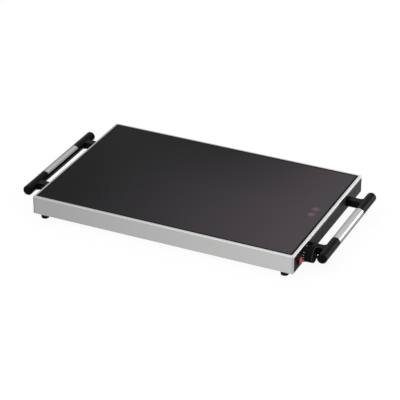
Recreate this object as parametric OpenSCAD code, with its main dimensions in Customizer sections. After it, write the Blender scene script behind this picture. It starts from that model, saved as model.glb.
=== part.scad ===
// Electric food warmer tray: a folded steel housing that carries a dark glass plate
// over a flat heater, with an end panel and a tubular lifting handle at each end.
// +X is the end with the controls, -Y the front, +Z up, and the feet stand on z = 0.

/* [Housing] */
// Length of the housing, without the handles
body_l = 600; // [560:1:680]
// Depth of the housing from front to back
body_d = 389; // [376:1:440]
// Height of the housing above the feet
body_h = 40; // [39:0.5:48]
// Thickness of the folded sheet
sheet_t = 1; // [0.8:0.1:1.2]
// Width of the steel rim round the glass
rim_w = 5.8; // [5.6:0.1:8]
// Outer radius of the rim's folded edge
rim_r = 3; // [2.2:0.1:3.4]
// Radius of the upright corners, and the width of the return beside each end panel
corner_r = 3; // [2.2:0.1:4]
// Height of the lip above each end panel
lip_h = 5.5; // [4.5:0.1:6.5]
// Width of the seam where the front and back walls meet the folded corners
seam_w = 0.5; // [0.3:0.1:0.8]
// Width of the ledge under the glass
ledge_w = 8; // [6:0.5:10]
// Width of the flanges that the base plate is screwed to
flange_w = 20; // [18:0.5:24]

/* [Glass] */
// Thickness of the glass plate
glass_t = 4; // [3:0.1:5]
// Radius of the glass plate's corners
glass_r = 2; // [1:0.1:3]
// How far the glass lies below the top of the rim
glass_drop = 0.2; // [0.1:0.1:0.5]
// Width of the sealing line between glass and rim
seal_w = 1.8; // [1:0.1:2]
// Thickness of the sealing bed under the glass
seal_bed_t = 0.5; // [0.3:0.1:0.8]

/* [Heater] */
// Length of the control bay at the right end, which has no heater
bay_l = 64; // [60:1:80]
// Width of one run of the heating track
track_w = 7; // [5:0.5:9]
// Space between two runs of the heating track
track_gap = 13; // [8:0.5:16]
// Thickness of the heating track
track_t = 0.6; // [0.4:0.1:0.8]
// Thickness of the mica sheet under the track
mica_t = 0.8; // [0.5:0.1:1.2]
// Thickness of the insulation blanket
blanket_t = 8; // [6:0.5:10]

/* [Base] */
// Thickness of the base plate
base_t = 1; // [0.8:0.1:1.5]
// Length of one air slot in the base plate
slot_l = 42; // [30:1:55]
// Width of one air slot
slot_w = 3.4; // [2.5:0.1:4]
// Distance from one air slot to the next
slot_pitch = 9; // [7:0.5:12]
// Air slots in one group
slot_count = 10; // [4:1:12]
// Distance between the middles of two groups of air slots along the plate
slot_group_x = 150; // [130:1:165]
// Distance of each row of groups from the plate's middle
slot_group_y = 60; // [40:1:80]
// Height of the pressed stiffening beads
bead_h = 1.4; // [0.8:0.1:2]

/* [Feet] */
// Height of each rubber foot
foot_h = 11; // [10:0.5:14]
// Diameter of each foot at the floor
foot_d = 17; // [16:0.1:20]
// Distance of each foot's centre from the end of the housing
foot_inset_x = 23; // [20:0.5:40]
// Distance of each foot's centre from the front or back of the housing
foot_inset_y = 11.6; // [11:0.1:14]

/* [End panels] */
// Thickness of the moulded end panels
panel_t = 2.5; // [2:0.1:3]
// Depth of the foot that joins an end panel to the base plate
panel_foot_l = 20; // [16:1:24]

/* [Handles] */
// Outer diameter of the steel grip tube
tube_d = 22; // [19:0.1:22.4]
// Wall of the grip tube
tube_wall = 1.5; // [1:0.1:2]
// Visible length of the grip tube between its two sleeves
grip_l = 136; // [100:1:180]
// Length of a whole handle, over both sleeves
handle_l = 295; // [280:1:320]
// Diameter of the moulded sleeves
sleeve_d = 22; // [21.6:0.1:24]
// Radius of the rounding at a sleeve's free end
sleeve_r = 4.5; // [2:0.1:6]
// Distance of the handle's axis from the end of the housing
handle_reach = 41; // [36:0.5:50]
// Height of the handle's axis above the underside of the housing
handle_rise = 20; // [18:0.1:21]
// How far the arms lie below the handle's axis
arm_drop = 1.2; // [0:0.1:2]
// Width of each handle arm along the handle
arm_w = 16; // [12:0.5:18]
// Height of each handle arm
arm_h = 15.6; // [12:0.1:17]
// Length of the spigot that each bracket pushes into the tube
spigot_l = 15; // [10:1:25]

/* [Controls] */
// Diameter of the knob's skirt
knob_d = 36; // [32:0.5:40]
// Width of the skirt outside the knob's grip
skirt_w = 0.9; // [0.8:0.1:2.5]
// How much the grip's diameter tapers towards its face
grip_taper = 0.6; // [0.4:0.1:3]
// Distance of the knob's face from the end panel
knob_h = 23.6; // [20:0.1:26]
// Thickness of the knob's skirt
skirt_t = 5; // [4:0.1:6]
// Flutes round the knob's grip
flute_count = 24; // [12:1:30]
// Height of the controls' centre line above the underside of the housing
control_rise = 19; // [18:0.1:20]
// Free space between the near handle arm, the knob and the switch
control_gap = 1; // [0.5:0.1:3]
// Diameter of the thermostat's shaft
shaft_d = 6; // [5:0.1:6.4]
// Height of the power switch's frame
frame_h = 22.4; // [22:0.1:24]
// Width of the power switch's frame
frame_w = 15; // [14:0.1:17]
// Thickness of the power switch's frame in front of the panel
frame_t = 2.2; // [1.8:0.1:3]
// Width of the red rocker
rocker_w = 10.4; // [9:0.1:11]
// Angle between the rocker's two positions
rocker_travel = 20; // [12:1:22]

/* [Supply] */
// Diameter of the bore that the supply lead passes through
gland_bore = 8; // [6:0.1:9]
// Diameter of the gland's threaded neck
gland_neck_d = 13; // [12:0.1:15]
// Diameter of the gland's outer collar
gland_collar_d = 19; // [17:0.5:22]
// Distance of the gland from the right end of the housing
gland_inset = 38; // [34:1:46]

/* [Clearances] */
// Radial running clearance of a shaft in its bore
run_clear = 0.05; // [0.02:0.01:0.08]
// Gap between pieces that are dropped or pushed into each other
fit_gap = 0.3; // [0.2:0.05:0.5]
// Radial clearance of a screw in its hole
screw_clear = 0.25; // [0.15:0.05:0.4]

/* [Hidden] */
$fn = 64;
// Overlap that makes one piece's parts merge, and overshoot of a cut past a face
eps = 0.2;

// The housing's faces
end_x = body_l / 2;
side_y = body_d / 2;
under_z = foot_h;
top_z = foot_h + body_h;
inner_x = end_x - sheet_t;
inner_y = side_y - sheet_t;

// The opening in the rim, the glass in it and the ledge below it
hole_l = body_l - 2 * rim_w;
hole_d = body_d - 2 * rim_w;
glass_l = hole_l - 2 * seal_w;
glass_d = hole_d - 2 * seal_w;
glass_top_z = top_z - glass_drop;
glass_under_z = glass_top_z - glass_t;
ledge_z = glass_under_z - seal_bed_t;
ledge_under_z = ledge_z - sheet_t;
ledge_in_x = hole_l / 2 - ledge_w;
ledge_in_y = hole_d / 2 - ledge_w;

// The base plate and the flanges above it
base_top_z = under_z + base_t;
flange_top_z = base_top_z + sheet_t;
base_x = inner_x - panel_t - fit_gap;
base_y = inner_y - fit_gap;

// The heater stack, from the glass downwards
track_z = glass_under_z - track_t;
mica_z = track_z - mica_t;
blanket_z = mica_z - blanket_t;
pan_t = 0.8;
pan_z = blanket_z - pan_t;
pan_left_x = -(ledge_in_x - 4);
pan_right_x = end_x - bay_l;
pan_y = ledge_in_y - 3;
pan_len = pan_right_x - pan_left_x;
pan_mid_x = (pan_right_x + pan_left_x) / 2;
pan_lip_w = 11;
stack_gap = 1;
stack_l = pan_len - 2 * pan_t - 2 * stack_gap;
stack_d = 2 * pan_y - 2 * pan_t - 2 * stack_gap;
track_edge = 8;
track_pitch = track_w + track_gap;
track_runs = 2 * floor((stack_d - 2 * track_edge - track_w) / track_pitch / 2) + 2;
track_l = stack_l - 2 * track_edge;
track_span = (track_runs - 1) * track_pitch;
lead_x = pan_mid_x + (track_l - track_w) / 2;
lead_y = track_span / 2;
lead_hole_d = 5;

// The end panels behind their lips and returns
panel_out_x = inner_x;
panel_in_x = panel_out_x - panel_t;
panel_y = inner_y - fit_gap;
panel_top_z = top_z - rim_r - fit_gap;
panel_foot_t = 2.4;
panel_boss_d = 8;
panel_boss_h = 2.8;
panel_screw_x = panel_in_x - panel_foot_l / 2;
panel_screw_ys = [30 - side_y, -55, 55, side_y - 30];
rib_depth = 4;
rib_t = 1.6;
rib_l = 36;
rib_y = 78;
rib_z = under_z + 25;

// The handles
handle_x = end_x + handle_reach;
handle_z = under_z + handle_rise;
sleeve_l = (handle_l - grip_l) / 2;
arm_z = handle_z - arm_drop;
arm_y = (handle_l + grip_l) / 4;
arm_edge_r = 3.5;
arm_fillet_r = 6;
bracket_screw_d = 5;
bracket_thread_l = 18;
bracket_head_d = 9.5;
bracket_head_h = 3;
washer_d = 14;
washer_t = 1.2;

// The controls
control_z = under_z + control_rise;
knob_y = -(arm_y + arm_w / 2 + control_gap + knob_d / 2);
switch_y = knob_y - knob_d / 2 - control_gap - frame_w / 2;
knob_back_x = panel_out_x + 1.2;
knob_face_x = panel_out_x + knob_h;
bush_d = 9.8;
bush_tip_x = panel_out_x + 4;
shaft_tip_x = knob_face_x - 6;
shaft_flat = 1.4;
thermo_d = 26;
thermo_l = 16;
thermo_neck_l = 6;
thermo_front_x = panel_in_x - thermo_neck_l;
thermo_back_x = thermo_front_x - thermo_l;
tab_l = 6;
tab_y = 8;
tab_z = control_z + 3.4;
shaft_root_x = thermo_front_x - 4;
nut_t = 2.4;
nut_d = 16;
grip_root_d = knob_d - 2 * skirt_w;
grip_face_d = grip_root_d - grip_taper;

// The power switch: its rocker turns on pins at rocker_x
rocker_depth = 5;
rocker_x = panel_out_x + frame_t - rocker_depth;
rocker_r = 11.8;
rocker_half_h = 8.8;
rocker_crown = 6;
rocker_dish = 12;
rocker_pin_d = 2.4;
rocker_pin_l = 0.9;
window_half_h = 10.2;
can_half_h = 10.6;
can_wall = 0.8;
can_l = 18;
can_back_x = panel_out_x - can_l;
can_half_w = rocker_w / 2 + fit_gap + 1.3;
blade_l = 7;

// The screws
screw_d = 4;
head_d = 7.6;
head_h = 2.4;
foot_x = end_x - foot_inset_x;
foot_y = side_y - foot_inset_y;
foot_seat_z = foot_h - 5;
base_screw_xs = [-225, -75, 75, 225];
base_screw_y = side_y - foot_inset_y;
pan_screw_xs = [pan_mid_x - 0.42 * pan_len, pan_mid_x, pan_mid_x + 0.42 * pan_len];
pan_screw_y = hole_d / 2 - ledge_w / 2;

// The electrical fittings in the control bay
gland_x = end_x - gland_inset;
gland_z = control_z;
gland_collar_t = 2.5;
gland_neck_l = 12;
block_x = end_x - 46;
block_y = side_y - 54;
block_w = 34;
block_l = 20;
block_h = 15;
pole_pitch = block_w / 3;
lamp_x = end_x - 33.5;
lamp_pitch = 24;
lamp_d = 9;
lamp_tube_d = 15;
earth_x = block_x + pole_pitch;
earth_y = side_y - 90;
fuse_y = -120;
fuse_d = 6;
fuse_z = pan_z - fuse_d / 2;
fuse_lead = 14;
bulb_d = 5;
bulb_l = 70;
bulb_x = 120;
bulb_y = -60;
bulb_z = pan_z - bulb_d / 2;
capillary_d = 1.6;
wire_d = 2.4;
wire_z = base_top_z + 10;

// ---- shared forms ----

module rounded_rect(l, d, r) {
    square([l - 2 * r, d], center = true);
    square([l, d - 2 * r], center = true);
    for (x = [-1, 1], y = [-1, 1])
        translate([x * (l / 2 - r), y * (d / 2 - r)]) circle(r = r);
}

module plate(l, d, z0, z1, r) {
    translate([0, 0, z0]) linear_extrude(z1 - z0) rounded_rect(l, d, r);
}

// Side view of a block with two rounded top edges
module shoulder(w, z0, z1, r) {
    translate([-w / 2, z0]) square([w, z1 - z0 - r]);
    translate([-w / 2 + r, z0]) square([w - 2 * r, z1 - z0]);
    for (x = [-1, 1]) translate([x * (w / 2 - r), z1 - r]) circle(r = r);
}

module along_x(l) {
    rotate([90, 0, 90]) linear_extrude(l, center = true) children();
}

module along_y(l) {
    rotate([90, 0, 0]) linear_extrude(l, center = true) children();
}

module round_block(l, d, z0, z1, edge_r, upright_r) {
    intersection() {
        plate(l, d, z0, z1, upright_r);
        along_y(d + 2) shoulder(l, z0, z1, edge_r);
        along_x(l + 2) shoulder(d, z0, z1, edge_r);
    }
}

// A rod that starts at the origin and runs along +X
module rod(l, d) {
    rotate([0, 90, 0]) cylinder(h = l, d = d);
}

module stadium(l, w) {
    square([l - w, w], center = true);
    for (x = [-1, 1]) translate([x * (l - w) / 2, 0]) circle(d = w);
}

// A pan head screw with a cross recess: the shank points up from z = 0, the head hangs below
module pan_screw(shank_l, d, head_d, head_h) {
    recess_w = head_d / 8;
    difference() {
        union() {
            cylinder(h = shank_l, d = d);
            translate([0, 0, -head_h * 0.5]) cylinder(h = head_h * 0.5, d = head_d);
            translate([0, 0, -head_h])
                cylinder(h = head_h * 0.5, d1 = head_d * 0.72, d2 = head_d);
        }
        for (a = [0, 90]) rotate(a)
            translate([0, 0, -head_h]) cube([head_d * 0.5, recess_w, head_h], center = true);
    }
}

module at_feet() {
    for (x = [-1, 1], y = [-1, 1]) translate([x * foot_x, y * foot_y, 0]) children();
}

module at_base_screws() {
    for (x = base_screw_xs, y = [-1, 1]) translate([x, y * base_screw_y, 0]) children();
}

module at_panel_screws(side) {
    for (y = panel_screw_ys) translate([side * panel_screw_x, y, 0]) children();
}

module at_pan_screws() {
    for (x = pan_screw_xs, y = [-1, 1]) translate([x, y * pan_screw_y, 0]) children();
}

module at_bracket_screws() {
    for (side = [-1, 1], y = [-1, 1])
        translate([side * panel_in_x, y * arm_y, arm_z])
            rotate([0, side * 90, 0]) children();
}

// A round wire through the points of a path
module wire(path, d = wire_d) {
    for (i = [0 : len(path) - 2]) {
        run = path[i + 1] - path[i];
        translate(path[i])
            rotate([0, acos(run[2] / norm(run)), atan2(run[1], run[0])])
                cylinder(h = norm(run), d = d, $fn = 24);
    }
    for (i = [1 : len(path) - 2])
        translate(path[i]) sphere(d = d * 1.1, $fn = 24);
}

module at_leads() {
    for (y = [-1, 1]) translate([lead_x, y * lead_y, 0]) children();
}

// ---- housing and glass ----

// Rim, downturned edge and ledge, folded from the same sheet as the walls
module housing_shell() {
    difference() {
        round_block(body_l, body_d, under_z, top_z, rim_r, corner_r);
        round_block(2 * inner_x, 2 * inner_y, under_z - 1, top_z - sheet_t,
                    rim_r - sheet_t, corner_r - sheet_t);
        plate(hole_l, hole_d, ledge_z, top_z + 1, glass_r + seal_w);
    }
    difference() {
        plate(hole_l + 2 * sheet_t, hole_d + 2 * sheet_t, ledge_under_z, top_z - sheet_t / 2,
              glass_r + seal_w + sheet_t);
        plate(hole_l, hole_d, ledge_z, top_z + 1, glass_r + seal_w);
        plate(2 * ledge_in_x, 2 * ledge_in_y, ledge_under_z - 1, ledge_z + 1, glass_r);
    }
}

module end_opening(side) {
    translate([side * end_x, 0, (under_z - 1 + top_z - lip_h) / 2])
        cube([4 * sheet_t, 2 * (side_y - corner_r), top_z - lip_h - under_z + 1], center = true);
}

// The grooves left where the walls butt against the folded corners
module corner_seams() {
    seam_top = top_z - rim_r - 1;
    for (x = [-1, 1], y = [-1, 1])
        translate([x * (end_x - corner_r - seam_w / 2), y * side_y, (under_z - 1 + seam_top) / 2])
            cube([seam_w, sheet_t, seam_top - under_z + 1], center = true);
}

module housing() {
    color("silver") difference() {
        union() {
            housing_shell();
            for (y = [-1, 1])
                translate([0, y * (inner_y - flange_w / 2 + eps / 2), base_top_z + sheet_t / 2])
                    cube([2 * (panel_in_x - fit_gap), flange_w + eps, sheet_t], center = true);
        }
        for (side = [-1, 1]) end_opening(side);
        corner_seams();
        at_feet() cylinder(h = flange_top_z + 1, d = screw_d + 2 * screw_clear);
        at_base_screws() cylinder(h = flange_top_z + 1, d = screw_d);
        at_pan_screws() translate([0, 0, ledge_under_z - 1]) cylinder(h = sheet_t + 1.5, d = 3);
        translate([gland_x, side_y + 1, gland_z])
            rotate([90, 0, 0]) cylinder(h = sheet_t + 2, d = gland_neck_d + 2 * screw_clear);
    }
}

module glass_plate() {
    color([0.09, 0.09, 0.1])
        plate(glass_l, glass_d, glass_under_z, glass_top_z, glass_r);
}

module glass_seal() {
    bed_w = ledge_w - seal_w - 2;
    color("black") difference() {
        plate(hole_l, hole_d, ledge_z, glass_top_z - glass_drop, glass_r + seal_w);
        plate(glass_l, glass_d, glass_under_z, top_z, glass_r);
        plate(glass_l - 2 * bed_w, glass_d - 2 * bed_w, ledge_z - 1, glass_under_z + 1, glass_r);
    }
}

// ---- heater ----

// One unbroken track: long runs, joined in turn at the left and the right
module heating_track() {
    color("dimgray") translate([pan_mid_x, 0, track_z]) linear_extrude(track_t) {
        for (i = [0 : track_runs - 1])
            translate([0, -track_span / 2 + i * track_pitch])
                square([track_l, track_w], center = true);
        for (i = [0 : track_runs - 2])
            translate([(i % 2 == 0 ? -1 : 1) * (track_l - track_w) / 2,
                       -track_span / 2 + (i + 0.5) * track_pitch])
                square([track_w, track_pitch], center = true);
    }
}

// A sheet of the heater stack, pierced where the two leads come up to the track
module stack_sheet(z, t) {
    difference() {
        translate([pan_mid_x, 0, z]) linear_extrude(t) rounded_rect(stack_l, stack_d, 3);
        at_leads() translate([0, 0, z - 1]) cylinder(h = t + 2, d = wire_d + 0.8);
    }
}

module mica_sheet() {
    color("tan") stack_sheet(mica_z, mica_t);
}

module insulation_blanket() {
    color("beige") stack_sheet(blanket_z, blanket_t);
}

// A shallow pan that presses the blanket up, hung from the ledge by its lips
module reflector_pan() {
    color("lightgray") difference() {
        union() {
            translate([pan_mid_x, 0, pan_z])
                linear_extrude(ledge_under_z - pan_z) rounded_rect(pan_len, 2 * pan_y, 3);
            for (y = [-1, 1])
                translate([pan_mid_x, y * (pan_y + pan_lip_w / 2 - eps), ledge_under_z - pan_t / 2])
                    cube([pan_len - 8, pan_lip_w, pan_t], center = true);
        }
        translate([pan_mid_x, 0, blanket_z])
            linear_extrude(blanket_t + 10) rounded_rect(pan_len - 2 * pan_t, 2 * (pan_y - pan_t), 2.2);
        at_pan_screws() translate([0, 0, ledge_under_z - 2]) cylinder(h = 3, d = 3.4);
        at_leads() translate([0, 0, pan_z - 1]) cylinder(h = pan_t + 2, d = lead_hole_d);
    }
}

module pan_screws() {
    color("gray") at_pan_screws() translate([0, 0, ledge_under_z - pan_t])
        pan_screw(pan_t + sheet_t - 0.1, 2.9, 5.6, 1.8);
}

// ---- base ----

module bead_lines(w) {
    for (y = [-1, 1]) translate([0, y * (side_y - 46)]) stadium(body_l - 130, w);
    for (x = [-1, 1]) translate([x * (end_x - 52), 0]) rotate(90) stadium(body_d - 130, w);
}

module base_slots() {
    group_w = (slot_count - 1) * slot_pitch;
    for (x = [-1 : 1], y = [-1, 1], i = [0 : slot_count - 1])
        translate([x * slot_group_x - group_w / 2 + i * slot_pitch, y * slot_group_y])
            rotate(90) stadium(slot_l, slot_w);
}

module base_plate() {
    bead_w = 8;
    color("darkgray") difference() {
        union() {
            plate(2 * base_x, 2 * base_y, under_z, base_top_z, corner_r);
            translate([0, 0, base_top_z - eps]) linear_extrude(bead_h + eps) bead_lines(bead_w);
        }
        translate([0, 0, under_z - eps]) linear_extrude(bead_h + eps) bead_lines(bead_w - 2 * base_t);
        translate([0, 0, under_z - 1]) linear_extrude(base_t + 2) base_slots();
        at_feet() cylinder(h = base_top_z + 1, d = screw_d + 2 * screw_clear);
        at_base_screws() cylinder(h = base_top_z + 1, d = screw_d + 2 * screw_clear);
        for (side = [-1, 1])
            at_panel_screws(side) cylinder(h = base_top_z + 1, d = screw_d + 2 * screw_clear);
        translate([earth_x, earth_y, 0]) cylinder(h = base_top_z + 1, d = screw_d + 2 * screw_clear);
    }
}

// A rubber foot: a slightly tapered disc with a rounded sole and a sunk screw seat
module foot() {
    sole_r = 1.5;
    color([0.07, 0.07, 0.07]) difference() {
        rotate_extrude() {
            difference() {
                union() {
                    polygon([[0, 0], [foot_d / 2 - sole_r, 0], [foot_d / 2, sole_r],
                             [foot_d / 2 + 0.5, foot_h], [0, foot_h]]);
                    translate([foot_d / 2 - sole_r, sole_r]) circle(r = sole_r);
                }
                translate([-foot_d, 0]) square([foot_d, foot_h]);
            }
        }
        translate([0, 0, -1]) cylinder(h = foot_seat_z + 1, d = head_d + 2);
        translate([0, 0, -1]) cylinder(h = foot_h + 2, d = screw_d + 2 * screw_clear);
    }
}

module left_front_foot() { translate([-foot_x, -foot_y, 0]) foot(); }
module left_rear_foot() { translate([-foot_x, foot_y, 0]) foot(); }
module right_front_foot() { translate([foot_x, -foot_y, 0]) foot(); }
module right_rear_foot() { translate([foot_x, foot_y, 0]) foot(); }

module foot_screws() {
    color("gray") at_feet() translate([0, 0, foot_seat_z])
        pan_screw(flange_top_z + 4 - foot_seat_z, screw_d, head_d, head_h);
}

module foot_nuts() {
    color("gray") at_feet() translate([0, 0, flange_top_z]) difference() {
        cylinder(h = 3.2, d = 8.1, $fn = 6);
        translate([0, 0, -1]) cylinder(h = 6, d = screw_d);
    }
}

module base_screws() {
    color("gray") at_base_screws() translate([0, 0, under_z])
        pan_screw(flange_top_z + 3 - under_z, screw_d - 0.1, head_d, head_h);
}

module panel_screws() {
    color("gray") for (side = [-1, 1])
        at_panel_screws(side) translate([0, 0, under_z])
            pan_screw(base_t + panel_foot_t + 3, screw_d - 0.1, head_d, head_h);
}

// ---- end panels ----

// A moulded panel with a foot on the base plate, ribs inside and four screw bosses
module end_panel(side) {
    foot_x0 = panel_in_x - panel_foot_l;
    difference() {
        union() {
            intersection() {
                translate([side * (panel_out_x - panel_t / 2), 0, (panel_top_z + under_z) / 2])
                    along_x(panel_t) rounded_rect(2 * panel_y, panel_top_z - under_z, 1);
                plate(2 * panel_out_x, 2 * panel_y, under_z, panel_top_z, corner_r);
            }
            translate([side * (foot_x0 + (panel_foot_l + eps) / 2), 0, flange_top_z + panel_foot_t / 2])
                cube([panel_foot_l + eps, 2 * (inner_y - flange_w - 2), panel_foot_t], center = true);
            translate([side * (foot_x0 + (panel_foot_l + eps) / 2), 0, base_top_z + sheet_t / 2 + eps / 2])
                cube([panel_foot_l + eps, 2 * (inner_y - flange_w - 2), sheet_t + eps], center = true);
            at_panel_screws(side) translate([0, 0, flange_top_z])
                cylinder(h = panel_foot_t + panel_boss_h, d = panel_boss_d);
            for (y = [-1, 1])
                translate([side * (panel_in_x - rib_depth / 2 + eps / 2), y * rib_y, rib_z])
                    cube([rib_depth + eps, rib_l, rib_t], center = true);
        }
        at_panel_screws(side) translate([0, 0, under_z])
            cylinder(h = base_t + sheet_t + panel_foot_t + panel_boss_h - 0.6, d = screw_d);
        at_bracket_screws() translate([0, 0, -eps])
            cylinder(h = panel_t + 2 * eps, d = bracket_screw_d + 2 * screw_clear);
    }
}

module left_end_panel() { color([0.16, 0.16, 0.16]) end_panel(-1); }

module right_end_panel() {
    color([0.16, 0.16, 0.16]) difference() {
        end_panel(1);
        translate([panel_in_x - 1, knob_y, control_z]) rod(panel_t + 2, bush_d + 2 * screw_clear);
        translate([panel_in_x - 1, switch_y, control_z])
            translate([0, -can_half_w - screw_clear, -can_half_h - screw_clear])
                cube([panel_t + 2, 2 * (can_half_w + screw_clear), 2 * (can_half_h + screw_clear)]);
    }
}

// ---- handles ----

// Half section of a sleeve on its axis, from the tube's end to the rounded free end
module sleeve_section() {
    bevel = 0.8;
    r = sleeve_d / 2;
    polygon([[0, 0], [r - bevel, 0], [r, bevel], [r, sleeve_l - sleeve_r],
             [r - sleeve_r, sleeve_l - sleeve_r], [r - sleeve_r, sleeve_l], [0, sleeve_l]]);
    intersection() {
        translate([r - sleeve_r, sleeve_l - sleeve_r]) circle(r = sleeve_r);
        translate([0, sleeve_l - sleeve_r - 1]) square([r, sleeve_r + 2]);
    }
    translate([0, -spigot_l]) square([tube_d / 2 - tube_wall - run_clear, spigot_l + 1]);
}

// The arm's plan, which spreads into the sleeve with a fillet on each side
module arm_plan() {
    root = end_x - sheet_t;
    spread_x = handle_x - sleeve_d / 2 + 2.4;
    translate([root, -arm_w / 2]) square([handle_x - root, arm_w]);
    for (y = [-1, 1]) difference() {
        translate([spread_x - arm_fillet_r, y < 0 ? -arm_w / 2 - arm_fillet_r : arm_w / 2 - eps])
            square([arm_fillet_r, arm_fillet_r + eps]);
        translate([spread_x - arm_fillet_r, y * (arm_w / 2 + arm_fillet_r)]) circle(r = arm_fillet_r);
    }
}

module bracket() {
    color([0.06, 0.06, 0.07]) difference() {
        union() {
            translate([handle_x, grip_l / 2, handle_z]) rotate([-90, 0, 0])
                rotate_extrude() sleeve_section();
            intersection() {
                translate([0, arm_y, arm_z - arm_h / 2]) linear_extrude(arm_h) arm_plan();
                translate([handle_x - handle_reach / 2, arm_y, arm_z])
                    along_x(handle_reach + 2 * sheet_t)
                        rounded_rect(arm_w + 2 * arm_fillet_r, arm_h, arm_edge_r);
            }
        }
        translate([panel_out_x - 1, arm_y, arm_z]) rod(bracket_thread_l + 1.5, bracket_screw_d);
    }
}

module right_rear_bracket() { bracket(); }
module right_front_bracket() { mirror([0, 1, 0]) bracket(); }
module left_rear_bracket() { mirror([1, 0, 0]) bracket(); }
module left_front_bracket() { mirror([1, 0, 0]) mirror([0, 1, 0]) bracket(); }

module grip_tube(side) {
    color("lightsteelblue") translate([side * handle_x, 0, handle_z]) rotate([90, 0, 0])
        difference() {
            cylinder(h = grip_l, d = tube_d, center = true);
            cylinder(h = grip_l + 1, d = tube_d - 2 * tube_wall, center = true);
        }
}

module left_grip_tube() { grip_tube(-1); }
module right_grip_tube() { grip_tube(1); }

module bracket_screws() {
    color("gray") at_bracket_screws() translate([0, 0, -washer_t])
        pan_screw(washer_t + panel_t + bracket_thread_l, bracket_screw_d - 0.1,
                  bracket_head_d, bracket_head_h);
}

module bracket_washers() {
    color("gray") at_bracket_screws() translate([0, 0, -washer_t]) difference() {
        cylinder(h = washer_t, d = washer_d);
        translate([0, 0, -1]) cylinder(h = washer_t + 2, d = bracket_screw_d + 2 * screw_clear);
    }
}

// ---- thermostat and knob ----

module thermostat_body() {
    color("gainsboro") translate([0, knob_y, control_z]) difference() {
        union() {
            translate([thermo_back_x, 0, 0]) rod(thermo_l, thermo_d);
            translate([thermo_front_x - eps, 0, 0]) rod(thermo_neck_l + eps, 16);
            translate([panel_in_x - eps, 0, 0]) rod(bush_tip_x - panel_in_x + eps, bush_d);
            for (y = [-1, 1])
                translate([thermo_back_x - tab_l, y * tab_y - 3.2, tab_z - control_z - 0.4])
                    cube([tab_l + eps, 6.4, 0.8]);
        }
        translate([shaft_root_x, 0, 0])
            rod(bush_tip_x - shaft_root_x + 1, shaft_d + 2 * run_clear);
    }
}

module shaft_flat_cut(l, play) {
    translate([shaft_tip_x - l, -shaft_d, shaft_d / 2 - shaft_flat + play])
        cube([l + 5, 2 * shaft_d, shaft_d]);
}

module thermostat_shaft() {
    root = shaft_root_x + fit_gap;
    color("goldenrod") translate([0, knob_y, control_z]) difference() {
        translate([root, 0, 0]) rod(shaft_tip_x - root, shaft_d);
        shaft_flat_cut(12, 0);
    }
}

module thermostat_nut() {
    color("silver") translate([panel_out_x, knob_y, control_z]) difference() {
        rotate([0, 90, 0]) cylinder(h = nut_t, d = nut_d, $fn = 6);
        translate([-1, 0, 0]) rod(nut_t + 2, bush_d);
    }
}

// Half section of the knob on its axis: skirt, tapered grip and a rounded face
module knob_section() {
    h = knob_face_x - knob_back_x;
    face_r = 1.6;
    polygon([[0, 0], [knob_d / 2 - 0.6, 0], [knob_d / 2, 0.6], [knob_d / 2, skirt_t - 1.2],
             [knob_d / 2 - skirt_w / 2, skirt_t], [grip_root_d / 2, skirt_t],
             [grip_face_d / 2, h - face_r], [grip_face_d / 2 - face_r, h - face_r],
             [grip_face_d / 2 - face_r, h], [0, h]]);
    translate([grip_face_d / 2 - face_r, h - face_r]) circle(r = face_r);
}

module control_knob() {
    h = knob_face_x - knob_back_x;
    flute_d = 2.4;
    flute_depth = 0.5;
    color([0.05, 0.05, 0.06]) difference() {
        translate([knob_back_x, knob_y, control_z]) rotate([0, 90, 0]) difference() {
            rotate_extrude() knob_section();
            for (i = [0 : flute_count - 1]) rotate((i + 0.5) * 360 / flute_count)
                translate([grip_face_d / 2 + flute_d / 2 - flute_depth, 0, skirt_t + 1])
                    cylinder(h = h, d = flute_d, $fn = 24);
            translate([0, 0, -1]) cylinder(h = skirt_t - 0.5, d = nut_d + 6);
            translate([0, 0, h - 0.8]) cylinder(h = 2, d = grip_face_d - 7);
        }
        translate([0, knob_y, control_z]) difference() {
            translate([knob_back_x - 1, 0, 0])
                rod(shaft_tip_x - knob_back_x + 1 + fit_gap, shaft_d + 2 * run_clear);
            shaft_flat_cut(11, run_clear);
        }
    }
    // Raised pointer across the sunk face
    color("white") translate([knob_face_x - 0.8 - eps, knob_y - 1, control_z + grip_face_d / 2 - 11.5])
        cube([0.8 + eps, 2, 8.4]);
}

// ---- power switch ----

// Side view of the rocker about its pins: u points out of the panel, v up
module rocker_side() {
    difference() {
        intersection() {
            circle(r = rocker_r);
            translate([-1.5, -rocker_half_h]) square([rocker_r + 2, 2 * rocker_half_h]);
        }
        for (s = [-1, 1]) translate([rocker_crown, 0])
            rotate(s * (90 - rocker_dish))
                translate([0, s > 0 ? -20 : 0]) square([30, 20]);
    }
    circle(d = rocker_pin_d + 3);
}

module switch_rocker() {
    body_w = rocker_w / 2 + rocker_pin_l;
    color([0.75, 0.16, 0.14]) translate([rocker_x, switch_y, control_z])
        rotate([0, -rocker_travel / 2, 0]) {
            along_y(rocker_w) rocker_side();
            rotate([90, 0, 0]) cylinder(h = 2 * body_w, d = rocker_pin_d, center = true);
        }
}

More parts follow.
